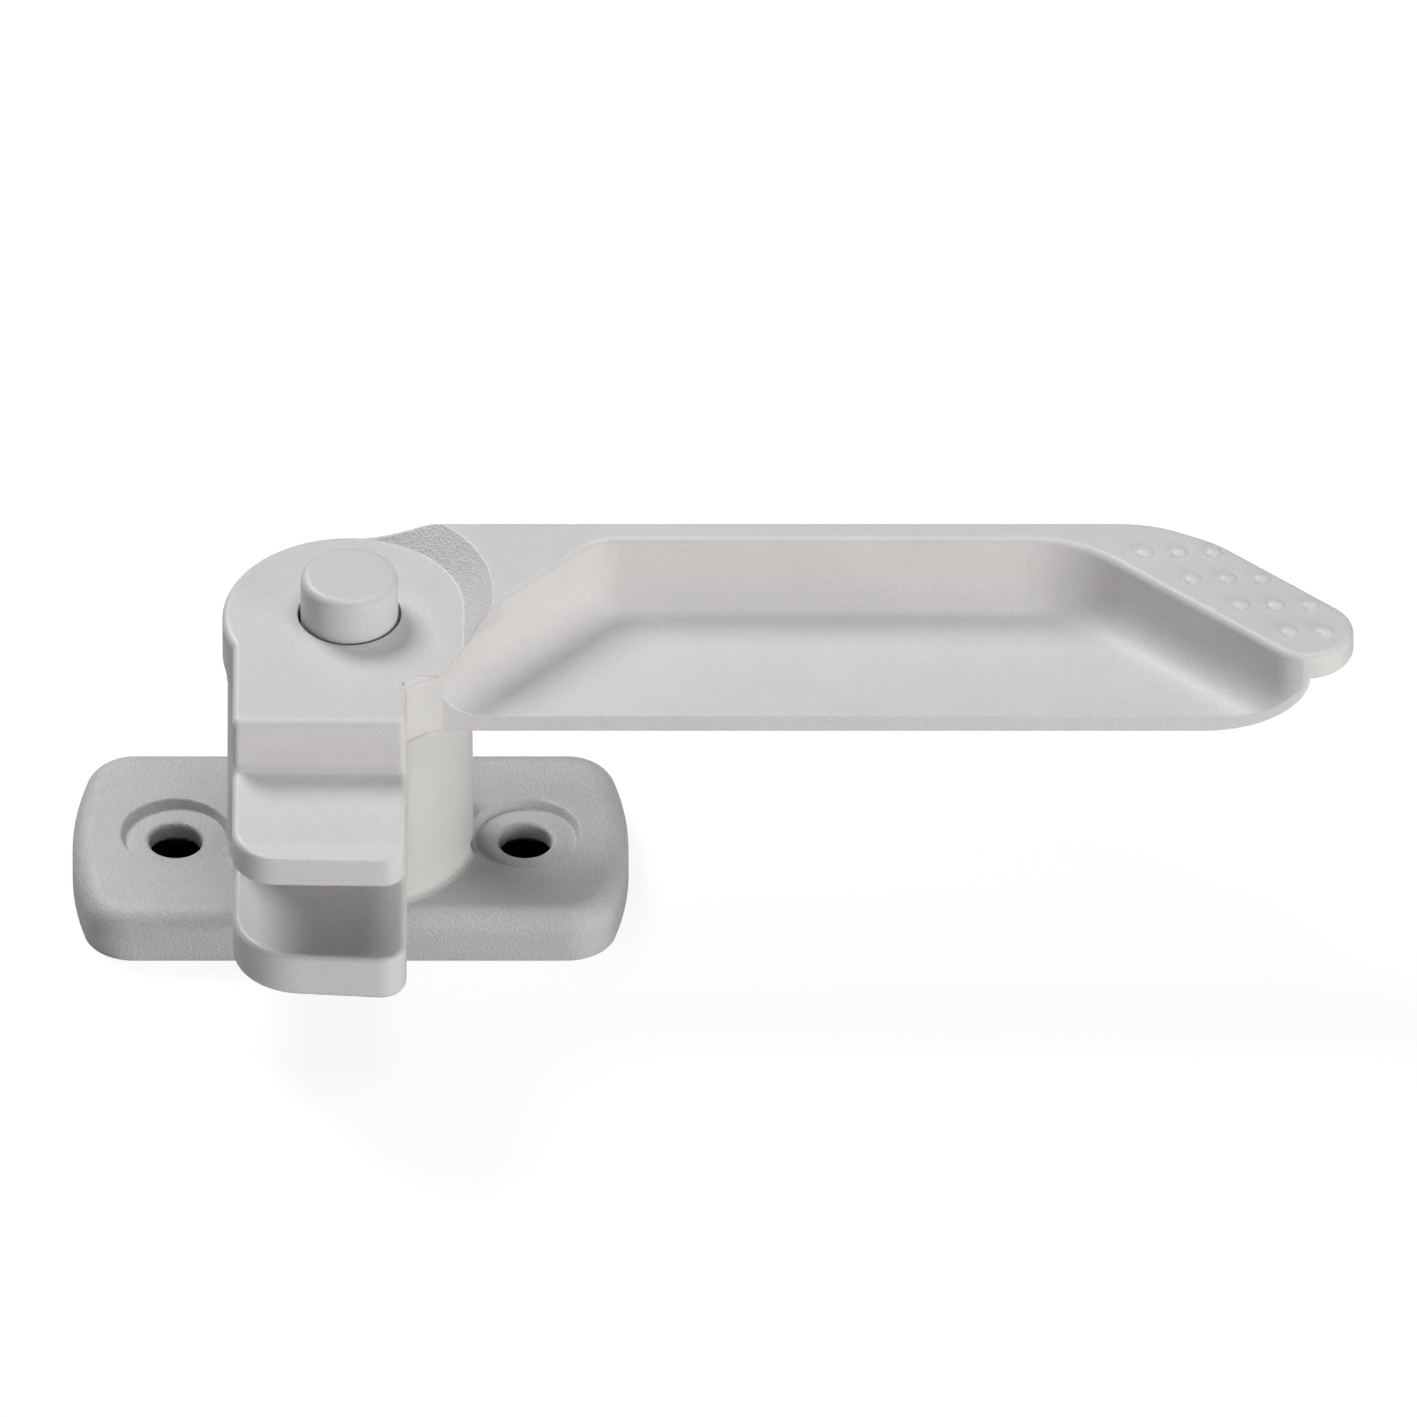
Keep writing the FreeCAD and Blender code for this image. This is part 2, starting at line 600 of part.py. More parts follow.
def make_nose_cut():
    """Make the wedge that bevels the front of the upper jaw's top."""
    corners = [
        (CLAW_REACH - JAW_NOSE_LENGTH, UPPER_JAW_TOP, 0),
        (CLAW_REACH - JAW_NOSE_LENGTH, UPPER_JAW_TOP + JAW_NOSE_DROP, 0),
        (CLAW_REACH + JAW_NOSE_LENGTH, UPPER_JAW_TOP + JAW_NOSE_DROP, 0),
        (CLAW_REACH + JAW_NOSE_LENGTH, UPPER_JAW_TOP - 2 * JAW_NOSE_DROP, 0),
    ]
    return side_slab(corners, -CLAW_LEFT - OVERCUT, CLAW_RIGHT + OVERCUT)


def claw_plan(left_radius, right_radius, setback):
    """List the claw's corners in plan, the front left one set back and both front ones rounded."""
    return [
        (-CLAW_LEFT, 0, 0),
        (-CLAW_LEFT, -CLAW_REACH + setback, left_radius),
        (CLAW_RIGHT, -CLAW_REACH, right_radius),
        (CLAW_RIGHT, 0, 0),
    ]


def claw_edges(claw):
    """List the claw's sharp outer edges, leaving out creases and the edges inside the hub."""
    edges = []
    for edge in claw.Edges:
        box = edge.BoundBox
        upright = box.XLength < 1e-4 and box.YLength < 1e-4
        across = box.YLength < 1e-4 and box.ZLength < 1e-4
        inside_hub = box.YMin > -1e-3
        corner_seam = upright and box.YMin < -CLAW_FACE - OVERCUT
        profile_seam = across and box.YMin > -CLAW_REACH + 1e-3
        if not (inside_hub or corner_seam or profile_seam):
            edges.append(edge)
    return edges


def make_lever():
    """Make the lever: hub, spigot, claw and handle as one moulding."""
    body = make_hub().fuse([make_spigot(), make_claw(), make_handle()])
    return body.cut(make_lever_bore()).removeSplitter()


def make_push_button():
    """Make the button with its stem and the flatted tenon that takes the lock bar."""
    head = disc(BUTTON_RADIUS, HEAD_BOTTOM, BUTTON_TOP)
    head = head.makeFillet(BUTTON_EDGE_RADIUS, flat_edges_at(head, BUTTON_TOP))
    stem = disc(STEM_RADIUS, BAR_TOP, HEAD_BOTTOM + OVERCUT)
    pilot = disc(SCREW_THREAD_RADIUS, BAR_BOTTOM - OVERCUT, BAR_BOTTOM + SCREW_THREAD_LENGTH)
    return head.fuse([stem, make_tenon()]).cut(pilot).removeSplitter()


def make_tenon():
    """Make the two-flatted end of the stem, as long as the lock bar is thick."""
    return disc(TENON_RADIUS, BAR_BOTTOM, BAR_TOP).common(
        block(4 * TENON_RADIUS, TENON_FLATS, BAR_BOTTOM - OVERCUT, BAR_TOP + OVERCUT))


def make_lock_bar():
    """Make the bar across the barrel, with rounded ends and a hole that fits the tenon."""
    strip = block(3 * BAR_REACH, BAR_WIDTH, BAR_BOTTOM, BAR_TOP)
    blank = strip.common(disc(BAR_REACH, BAR_BOTTOM, BAR_TOP))
    return blank.cut(make_tenon())


def make_bar_screw():
    """Make the screw that holds the lock bar on the stem."""
    head = disc(SCREW_HEAD_RADIUS, BAR_BOTTOM - SCREW_HEAD_HEIGHT, BAR_BOTTOM)
    head = head.makeFillet(SCREW_HEAD_HEIGHT / 3, flat_edges_at(head, BAR_BOTTOM - SCREW_HEAD_HEIGHT))
    shank = disc(SCREW_THREAD_RADIUS, BAR_BOTTOM - OVERCUT / 4, BAR_BOTTOM + SCREW_THREAD_LENGTH)
    recess_top = BAR_BOTTOM - SCREW_HEAD_HEIGHT + SCREW_RECESS_DEPTH
    recess_bottom = BAR_BOTTOM - SCREW_HEAD_HEIGHT - OVERCUT
    along = block(SCREW_RECESS_LENGTH, SCREW_RECESS_WIDTH, recess_bottom, recess_top)
    across = block(SCREW_RECESS_WIDTH, SCREW_RECESS_LENGTH, recess_bottom, recess_top)
    return head.fuse(shank).cut(along.fuse(across)).removeSplitter()


def make_button_spring():
    """Make the compression spring between the guide land and the button's head."""
    bottom = SPRING_SEAT + SPRING_WIRE_RADIUS
    height = HEAD_BOTTOM - SPRING_SEAT - 2 * SPRING_WIRE_RADIUS
    coil_radius = BUTTON_RADIUS - SPRING_CLEARANCE - SPRING_WIRE_RADIUS
    helix = Part.Wire(Part.makeHelix(height / SPRING_COILS, height, coil_radius).Edges)
    section = []
    for side_number in range(SPRING_WIRE_SIDES + 1):
        angle = 2 * math.pi * (side_number + 0.5) / SPRING_WIRE_SIDES
        out = SPRING_WIRE_RADIUS * math.cos(angle)
        section.append(Vector(coil_radius + out, 0, SPRING_WIRE_RADIUS * math.sin(angle)))
    spring = helix.makePipeShell([Part.makePolygon(section)], True, True)
    spring.translate(Vector(0, 0, bottom))
    return spring


def make_thrust_washer():
    """Make the flat washer that bears on the collar's underside."""
    washer = disc(WASHER_RADIUS, WASHER_BOTTOM, COLLAR_UNDERSIDE)
    return washer.cut(disc(WASHER_BORE, WASHER_BOTTOM - OVERCUT, COLLAR_UNDERSIDE + OVERCUT))


def make_disc_spring():
    """Make the coned spring washer that takes up the lever's end play."""
    profile = [
        (WASHER_BORE, WASHER_BOTTOM - DISC_SPRING_THICKNESS, 0),
        (WASHER_BORE, WASHER_BOTTOM, 0),
        (WASHER_RADIUS, WASHER_BOTTOM - DISC_SPRING_CONE, 0),
        (WASHER_RADIUS, RING_TOP, 0),
    ]
    return turned(profile)


def make_retaining_ring():
    """Make the open snap ring in the spigot's groove."""
    ring = disc(RING_BORE + RING_WIDTH, ring_groove_bottom(), RING_TOP)
    ring = ring.cut(disc(RING_BORE, ring_groove_bottom() - OVERCUT, RING_TOP + OVERCUT))
    gap = Part.makeBox(RING_OPENING, FAR, RING_THICKNESS + 2 * OVERCUT)
    gap.translate(Vector(-RING_OPENING / 2, 0, ring_groove_bottom() - OVERCUT))
    ring = ring.cut(gap)
    return ring.makeFillet(RING_WIDTH / 3, upright_edges(ring))


PIECES = {
    "base": make_base,
    "lever": make_lever,
    "push_button": make_push_button,
    "button_spring": make_button_spring,
    "lock_bar": make_lock_bar,
    "bar_screw": make_bar_screw,
    "thrust_washer": make_thrust_washer,
    "disc_spring": make_disc_spring,
    "retaining_ring": make_retaining_ring,
}


def main():
    """Build each piece and write its file."""
    os.makedirs("parts", exist_ok=True)
    for name, make in PIECES.items():
        shape = make()
        if not shape.isValid() or not shape.Solids:
            print(name, "came out invalid")
        box = shape.BoundBox
        print(f"{name}: {len(shape.Solids)} solid, {shape.Volume:.1f} mm3, "
              f"X {box.XMin:.2f} to {box.XMax:.2f}, Y {box.YMin:.2f} to {box.YMax:.2f}, "
              f"Z {box.ZMin:.2f} to {box.ZMax:.2f}")
        shape.exportStep(os.path.join("parts", name + ".step"))


main()
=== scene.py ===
# Dresses the window turn latch: moulded grey plastics, spring steel, and the studio that lights them.

import logging
import math
from dataclasses import dataclass, field, replace
from enum import Enum

import bmesh
import bpy
from mathutils import Matrix, Vector

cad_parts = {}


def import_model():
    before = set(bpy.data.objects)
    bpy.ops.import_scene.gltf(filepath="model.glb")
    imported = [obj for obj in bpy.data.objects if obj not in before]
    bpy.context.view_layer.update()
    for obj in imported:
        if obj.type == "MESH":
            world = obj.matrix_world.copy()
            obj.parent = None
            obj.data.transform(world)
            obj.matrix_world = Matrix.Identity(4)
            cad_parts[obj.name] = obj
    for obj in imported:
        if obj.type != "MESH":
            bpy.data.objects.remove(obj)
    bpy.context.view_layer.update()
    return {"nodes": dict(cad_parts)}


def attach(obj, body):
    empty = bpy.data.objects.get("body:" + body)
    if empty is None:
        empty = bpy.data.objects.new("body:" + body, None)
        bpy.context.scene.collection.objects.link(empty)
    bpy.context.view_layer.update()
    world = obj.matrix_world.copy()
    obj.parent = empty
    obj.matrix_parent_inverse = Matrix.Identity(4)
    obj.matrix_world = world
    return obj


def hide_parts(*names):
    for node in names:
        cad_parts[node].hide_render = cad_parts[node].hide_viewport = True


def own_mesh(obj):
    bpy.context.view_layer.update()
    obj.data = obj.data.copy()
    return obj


LOG = logging.getLogger("window_latch")

MM = 0.001
PHOTO_PIXELS = 1417
CREASE_ANGLE = math.radians(32.0)

# Sockets of a Mix node that mixes colours, and of one that mixes numbers.
COLOUR_A, COLOUR_B, COLOUR_RESULT = 6, 7, 2
NUMBER_A, NUMBER_B, NUMBER_RESULT = 2, 3, 0

# The noise stays between these two values nearly everywhere.
NOISE_LOW, NOISE_HIGH = 0.25, 0.75

# Where each zone's mask starts and where it is full.
BARREL_FOOT = (5.5 * MM, 6.1 * MM)
CRESCENT_FLOOR = (33.2 * MM, 33.35 * MM)
CRESCENT_TOP = (35.5 * MM, 35.35 * MM)
CRESCENT_RIM = (15.3 * MM, 15.0 * MM)

Triple = tuple[float, float, float]


def add_node(tree: bpy.types.NodeTree, kind: str, **settings: object) -> bpy.types.Node:
    """Add a shader node and set its properties and input values.

    Args:
        tree: The node tree that gets the node.
        kind: The node's type name.
        **settings: Properties by name, or input values by socket name with underscores for spaces.

    Returns:
        The new node.
    """
    node = tree.nodes.new(kind)
    for name, value in settings.items():
        if hasattr(node, name):
            setattr(node, name, value)
        else:
            node.inputs[name.replace("_", " ")].default_value = value
    return node


def make_group(name: str, inputs: dict[str, float | None], outputs: dict[str, str]) -> bpy.types.NodeTree:
    """Start a shader node group.

    Args:
        name: The group's name.
        inputs: Default value of each float input, or None for a vector input.
        outputs: Kind of each output, Float or Vector.

    Returns:
        The group's node tree, with its input and output nodes in place.
    """
    tree = bpy.data.node_groups.new(name, "ShaderNodeTree")
    for socket, value in inputs.items():
        kind = "NodeSocketVector" if value is None else "NodeSocketFloat"
        made = tree.interface.new_socket(socket, in_out="INPUT", socket_type=kind)
        if value is not None:
            made.default_value = value
    for socket, kind in outputs.items():
        tree.interface.new_socket(socket, in_out="OUTPUT", socket_type=f"NodeSocket{kind}")
    tree.nodes.new("NodeGroupInput").name = "In"
    tree.nodes.new("NodeGroupOutput").name = "Out"
    return tree


def mould_grain_group() -> bpy.types.NodeTree:
    """Build the group for the fine pits and soft unevenness of a moulded face.

    Returns:
        A group that puts out a height and two masks from 0 to 1: fine speckle and broad mottling.
    """
    tree = make_group("mould_grain", {"Place": None, "Pits per metre": 3000.0, "Waves per metre": 120.0},
                      {"Height": "Float", "Speckle": "Float", "Mottle": "Float"})
    start, end = tree.nodes["In"], tree.nodes["Out"]
    link = tree.links.new
    pits = add_node(tree, "ShaderNodeTexNoise", Detail=3.0, Roughness=0.62)
    cells = add_node(tree, "ShaderNodeTexVoronoi", feature="SMOOTH_F1", Smoothness=0.6)
    waves = add_node(tree, "ShaderNodeTexNoise", Detail=2.0, Roughness=0.5)
    for node, rate in ((pits, "Pits per metre"), (cells, "Pits per metre"), (waves, "Waves per metre")):
        link(start.outputs["Place"], node.inputs["Vector"])
        link(start.outputs[rate], node.inputs["Scale"])
    halve_and_add = add_node(tree, "ShaderNodeMath", operation="MULTIPLY_ADD")
    link(cells.outputs["Distance"], halve_and_add.inputs[0])
    halve_and_add.inputs[1].default_value = 0.5
    link(pits.outputs["Fac"], halve_and_add.inputs[2])
    link(halve_and_add.outputs[0], end.inputs["Height"])
    link(pits.outputs["Fac"], end.inputs["Speckle"])
    link(waves.outputs["Fac"], end.inputs["Mottle"])
    return tree


def edge_group() -> bpy.types.NodeTree:
    """Build the group that finds rims and edges and rounds their shading normals; its mask also drives the painted
    highlight on edges.

    Returns:
        A group that puts out a mask from 0 on flat faces to 1 on tight edges, and the rounded normal.
    """
    tree = make_group("edge_finder", {"Gain": 6.0, "Radius": 0.3 * MM}, {"Edge": "Float", "Normal": "Vector"})
    start, end = tree.nodes["In"], tree.nodes["Out"]
    link = tree.links.new
    bevel = add_node(tree, "ShaderNodeBevel", samples=8)
    surface = add_node(tree, "ShaderNodeNewGeometry")
    agree = add_node(tree, "ShaderNodeVectorMath", operation="DOT_PRODUCT")
    differ = add_node(tree, "ShaderNodeMath", operation="SUBTRACT")
    differ.inputs[0].default_value = 1.0
    gain = add_node(tree, "ShaderNodeMath", operation="MULTIPLY", use_clamp=True)
    link(start.outputs["Radius"], bevel.inputs["Radius"])
    link(bevel.outputs["Normal"], end.inputs["Normal"])
    link(bevel.outputs["Normal"], agree.inputs[0])
    link(surface.outputs["Normal"], agree.inputs[1])
    link(agree.outputs["Value"], differ.inputs[1])
    link(differ.outputs[0], gain.inputs[0])
    link(start.outputs["Gain"], gain.inputs[1])
    link(gain.outputs[0], end.inputs["Edge"])
    return tree


class Zone(Enum):
    """A part of a moulding that has a finish of its own."""

    NONE = "none"
    BARREL = "barrel"
    CRESCENT = "crescent"


def zone_mask(tree: bpy.types.NodeTree, place: bpy.types.NodeSocket,
              zone: Zone) -> bpy.types.NodeSocket | None:
    """Add the nodes that mask one zone of a moulding.

    Args:
        tree: The material's node tree.
        place: The socket with the position on the piece, in metres.
        zone: The zone to mask.

    Returns:
        The socket with the mask from 0 to 1, or None where there is no zone.
    """
    if zone is Zone.NONE:
        return None
    axes = add_node(tree, "ShaderNodeSeparateXYZ")
    tree.links.new(place, axes.inputs["Vector"])
    if zone is Zone.BARREL:
        return step_mask(tree, axes.outputs["Z"], *BARREL_FOOT)
    low = step_mask(tree, axes.outputs["Z"], *CRESCENT_FLOOR)
    high = step_mask(tree, axes.outputs["Z"], *CRESCENT_TOP)
    flat = add_node(tree, "ShaderNodeVectorMath", operation="MULTIPLY")
    flat.inputs[1].default_value = (1.0, 1.0, 0.0)
    radius = add_node(tree, "ShaderNodeVectorMath", operation="LENGTH")
    tree.links.new(place, flat.inputs[0])
    tree.links.new(flat.outputs["Vector"], radius.inputs[0])
    near = step_mask(tree, radius.outputs["Value"], *CRESCENT_RIM)
    between = add_node(tree, "ShaderNodeMath", operation="MULTIPLY")
    inside = add_node(tree, "ShaderNodeMath", operation="MULTIPLY")
    tree.links.new(low, between.inputs[0])
    tree.links.new(high, between.inputs[1])
    tree.links.new(between.outputs[0], inside.inputs[0])
    tree.links.new(near, inside.inputs[1])
    return inside.outputs[0]


def step_mask(tree: bpy.types.NodeTree, value: bpy.types.NodeSocket, start: float,
              end: float) -> bpy.types.NodeSocket:
    """Add a smooth step from 0 at one value to 1 at another.

    Args:
        tree: The material's node tree.
        value: The socket with the value.
        start: The value at which the mask is 0.
        end: The value at which the mask is 1.

    Returns:
        The socket with the mask.
    """
    step = add_node(tree, "ShaderNodeMapRange", interpolation_type="SMOOTHSTEP", From_Min=start, From_Max=end)
    tree.links.new(value, step.inputs["Value"])
    return step.outputs["Result"]


def blend_floats(tree: bpy.types.NodeTree, mask: bpy.types.NodeSocket, low: float,
                 high: float) -> bpy.types.NodeSocket:
    """Add a value that goes from one number to another with a mask.

    Args:
        tree: The material's node tree.
        mask: The socket with the mask from 0 to 1.
        low: The value where the mask is 0.
        high: The value where the mask is 1.

    Returns:
        The socket with the value.
    """
    scale = add_node(tree, "ShaderNodeMapRange", To_Min=low, To_Max=high)
    tree.links.new(mask, scale.inputs["Value"])
    return scale.outputs["Result"]


@dataclass(frozen=True)
class MouldedPlastic:
    """An opaque moulded plastic with the grain of its mould."""

    name: str
    colour: Triple
    roughness: float
    grain_depth: float
    pits_per_metre: float
    speckle: float
    mottle: float
    specular: float = 0.42
    # Painted highlight: how much lighter the colour is made on edges.
    painted_edge_highlight: float = 0.14
    edge_radius: float = 0.3 * MM
    zone: Zone = Zone.NONE
    zone_colour: Triple = (0.6, 0.6, 0.6)
    zone_depth: float = 5.0e-6
    zone_speckle: float = 0.02
    edge_polish: float = 0.12
    roughness_spread: float = 0.05

    def build(self, groups: dict[str, bpy.types.NodeTree]) -> bpy.types.Material:
        """Make the material.

        Args:
            groups: The shared shader node groups by name.

        Returns:
            The finished material.
        """
        material = bpy.data.materials.new(self.name)
        material.use_nodes = True
        tree = material.node_tree
        link = tree.links.new
        shader = tree.nodes["Principled BSDF"]
        shader.inputs["Specular IOR Level"].default_value = self.specular
        place = add_node(tree, "ShaderNodeTexCoord").outputs["Object"]
        grain = add_node(tree, "ShaderNodeGroup", node_tree=groups["grain"])
        grain.inputs["Pits per metre"].default_value = self.pits_per_metre
        link(place, grain.inputs["Place"])
        mask = zone_mask(tree, place, self.zone)
        edge = add_node(tree, "ShaderNodeGroup", node_tree=groups["edge"])
        edge.inputs["Radius"].default_value = self.edge_radius
        self.tint(tree, edge, grain, mask, shader)
        rough = add_node(tree, "ShaderNodeMapRange", To_Min=self.roughness - self.roughness_spread,
                         To_Max=self.roughness + self.roughness_spread)
        worn = add_node(tree, "ShaderNodeMath", operation="MULTIPLY_ADD")
        worn.inputs[1].default_value = -self.edge_polish
        link(grain.outputs["Speckle"], rough.inputs["Value"])
        link(edge.outputs["Edge"], worn.inputs[0])
        link(rough.outputs["Result"], worn.inputs[2])
        link(worn.outputs[0], shader.inputs["Roughness"])
        bump = add_node(tree, "ShaderNodeBump", Strength=1.0, Distance=self.grain_depth)
        if mask is not None:
            link(blend_floats(tree, mask, self.grain_depth, self.zone_depth), bump.inputs["Distance"])
        link(grain.outputs["Height"], bump.inputs["Height"])
        link(edge.outputs["Normal"], bump.inputs["Normal"])
        link(bump.outputs["Normal"], shader.inputs["Normal"])
        return material

    def tint(self, tree: bpy.types.NodeTree, edge: bpy.types.Node, grain: bpy.types.Node,
             mask: bpy.types.NodeSocket | None, shader: bpy.types.Node) -> None:
        """Colour the plastic: its zones, its pits and flow, and a painted highlight that lightens its edges.

        Args:
            tree: The material's node tree.
            edge: The edge finder node.
            grain: The mould grain node.
            mask: The socket with the zone's mask, if the moulding has a zone.
            shader: The surface shader that takes the colour.
        """
        link = tree.links.new
        speckle = add_node(tree, "ShaderNodeMapRange", From_Min=NOISE_LOW, From_Max=NOISE_HIGH,
                           To_Min=-1.0, To_Max=1.0)
        contrast = add_node(tree, "ShaderNodeMath", operation="MULTIPLY")
        contrast.inputs[1].default_value = self.speckle
        mottle = add_node(tree, "ShaderNodeMapRange", From_Min=NOISE_LOW, From_Max=NOISE_HIGH,
                          To_Min=1 - self.mottle, To_Max=1 + self.mottle)
        # Painted highlight: the edge mask makes the colour lighter on rims and edges.
        highlight_rise = add_node(tree, "ShaderNodeMath", operation="MULTIPLY_ADD")
        highlight_rise.inputs[1].default_value = self.painted_edge_highlight
        total = add_node(tree, "ShaderNodeMath", operation="ADD")
        scale = add_node(tree, "ShaderNodeVectorMath", operation="SCALE")
        scale.inputs[0].default_value = self.colour
        if mask is not None:
            zones = add_node(tree, "ShaderNodeMix", data_type="RGBA")
            zones.inputs[COLOUR_A].default_value = self.colour + (1.0,)
            zones.inputs[COLOUR_B].default_value = self.zone_colour + (1.0,)
            link(mask, zones.inputs["Factor"])
            link(zones.outputs[COLOUR_RESULT], scale.inputs[0])
            link(blend_floats(tree, mask, self.speckle, self.zone_speckle), contrast.inputs[1])
        link(grain.outputs["Speckle"], speckle.inputs["Value"])
        link(grain.outputs["Mottle"], mottle.inputs["Value"])
        link(edge.outputs["Edge"], highlight_rise.inputs[0])
        link(speckle.outputs["Result"], contrast.inputs[0])
        link(contrast.outputs[0], highlight_rise.inputs[2])
        link(highlight_rise.outputs[0], total.inputs[0])
        link(mottle.outputs["Result"], total.inputs[1])
        link(total.outputs[0], scale.inputs["Scale"])
        link(scale.outputs["Vector"], shader.inputs["Base Color"])


@dataclass(frozen=True)
class DrawnSteel:
    """Spring or fastener steel with fine drawing marks."""

    name: str
    colour: Triple
    roughness: float
    scratches_per_metre: float
    roughness_spread: float = 0.08
    dark_share: float = 0.8
    scratch_depth: float = 2.0e-6
    scratch_strength: float = 0.6

    def build(self, groups: dict[str, bpy.types.NodeTree]) -> bpy.types.Material:
        """Make the material.

        Args:
            groups: The shared shader node groups by name; the mould grain gives a fine unevenness.

        Returns:
            The finished material.
        """
        material = bpy.data.materials.new(self.name)
        material.use_nodes = True
        tree = material.node_tree
        link = tree.links.new
        shader = tree.nodes["Principled BSDF"]
        shader.inputs["Metallic"].default_value = 1.0
        place = add_node(tree, "ShaderNodeTexCoord")
        grain = add_node(tree, "ShaderNodeGroup", node_tree=groups["grain"])
        grain.inputs["Pits per metre"].default_value = self.scratches_per_metre
        link(place.outputs["Object"], grain.inputs["Place"])
        ramp = add_node(tree, "ShaderNodeValToRGB")
        ramp.color_ramp.elements[0].color = tuple(value * self.dark_share for value in self.colour) + (1.0,)
        ramp.color_ramp.elements[1].color = self.colour + (1.0,)
        link(grain.outputs["Mottle"], ramp.inputs["Fac"])
        link(ramp.outputs["Color"], shader.inputs["Base Color"])
        rough = add_node(tree, "ShaderNodeMapRange", To_Min=self.roughness - self.roughness_spread,
                         To_Max=self.roughness + self.roughness_spread)
        link(grain.outputs["Speckle"], rough.inputs["Value"])
        link(rough.outputs["Result"], shader.inputs["Roughness"])
        bump = add_node(tree, "ShaderNodeBump", Strength=self.scratch_strength, Distance=self.scratch_depth)
        link(grain.outputs["Height"], bump.inputs["Height"])
        link(bump.outputs["Normal"], shader.inputs["Normal"])
        return material


BASE_PLASTIC = MouldedPlastic(
    "base_grained_grey", (0.521, 0.515, 0.513), roughness=0.36, grain_depth=1.0e-4, pits_per_metre=4600.0,
    speckle=0.15, mottle=0.03, specular=0.6, painted_edge_highlight=0.35, zone=Zone.BARREL,
    zone_colour=(0.6, 0.592, 0.585))
LEVER_PLASTIC = MouldedPlastic(
    "lever_satin_grey", (0.615, 0.605, 0.602), roughness=0.4, grain_depth=3.0e-5, pits_per_metre=4200.0,
    speckle=0.06, mottle=0.025, painted_edge_highlight=0.24, zone=Zone.CRESCENT, zone_colour=(0.6, 0.59, 0.592),
    zone_depth=1.3e-4, zone_speckle=0.1)
RAISED_PLASTIC = replace(
    LEVER_PLASTIC, name="lever_raised_grey", zone=Zone.NONE, painted_edge_highlight=0.0, edge_radius=0.01 * MM)
BUTTON_PLASTIC = MouldedPlastic(
    "button_satin_grey", (0.59, 0.582, 0.579), roughness=0.4, grain_depth=3.0e-5, pits_per_metre=4200.0,
    speckle=0.06, mottle=0.025)
BAR_PLASTIC = MouldedPlastic(
    "bar_dark_grey", (0.05, 0.05, 0.052), roughness=0.45, grain_depth=4.0e-6, pits_per_metre=3800.0,
    speckle=0.04, mottle=0.03)
WASHER_PLASTIC = MouldedPlastic(
    "washer_natural_white", (0.7, 0.69, 0.65), roughness=0.4, grain_depth=4.0e-6, pits_per_metre=3800.0,
    speckle=0.02, mottle=0.02)
SPRING_STEEL = DrawnSteel("spring_steel_wire", (0.6, 0.6, 0.58), roughness=0.3, scratches_per_metre=6000.0)
SCREW_STEEL = DrawnSteel("screw_zinc_plate", (0.68, 0.68, 0.69), roughness=0.28, scratches_per_metre=5000.0)
RING_STEEL = DrawnSteel("ring_oiled_steel", (0.22, 0.21, 0.2), roughness=0.35, scratches_per_metre=5000.0)

NODE_FINISHES = {
    "base": BASE_PLASTIC,
    "lever": LEVER_PLASTIC,
    "push_button": BUTTON_PLASTIC,
    "button_spring": SPRING_STEEL,
    "lock_bar": BAR_PLASTIC,
    "bar_screw": SCREW_STEEL,
    "thrust_washer": WASHER_PLASTIC,
    "disc_spring": SPRING_STEEL,
    "retaining_ring": RING_STEEL,
}


@dataclass
class LatchPieces:
    """The latch's own solids, which get their finishes."""

    nodes: dict[str, bpy.types.Object]
    finishes: dict[str, MouldedPlastic | DrawnSteel] = field(default_factory=lambda: dict(NODE_FINISHES))

    def dress(self, groups: dict[str, bpy.types.NodeTree]) -> None:
        """Give each solid its material.

        Args:
            groups: The shared shader node groups by name.
        """
        made: dict[str, bpy.types.Material] = {}
        for name, finish in self.finishes.items():
            if finish.name not in made:
                made[finish.name] = finish.build(groups)
            mesh = self.nodes[name].data
            mesh.materials.clear()
            mesh.materials.append(made[finish.name])
            LOG.info("%s wears %s", name, finish.name)


@dataclass
class ButtonCoil:
    """The button's compression spring, as a merged copy of the solid's own."""

    node: bpy.types.Object
    travel: float = 3.5 * MM
    merge_distance: float = 0.001 * MM

    def build(self, material: bpy.types.Material) -> bpy.types.Object:
        """Put a merged copy in the place of the rigid spring.

        Args:
            material: The spring's steel.

        Returns:
            The finished piece.
        """
        coil = bmesh.new()
        coil.from_mesh(self.node.data)
        bmesh.ops.remove_doubles(coil, verts=coil.verts, dist=self.merge_distance)
        piece = finish_piece(coil, "pressed_coil", material, "lever")
        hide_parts("button_spring")
        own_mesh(piece)
        return piece


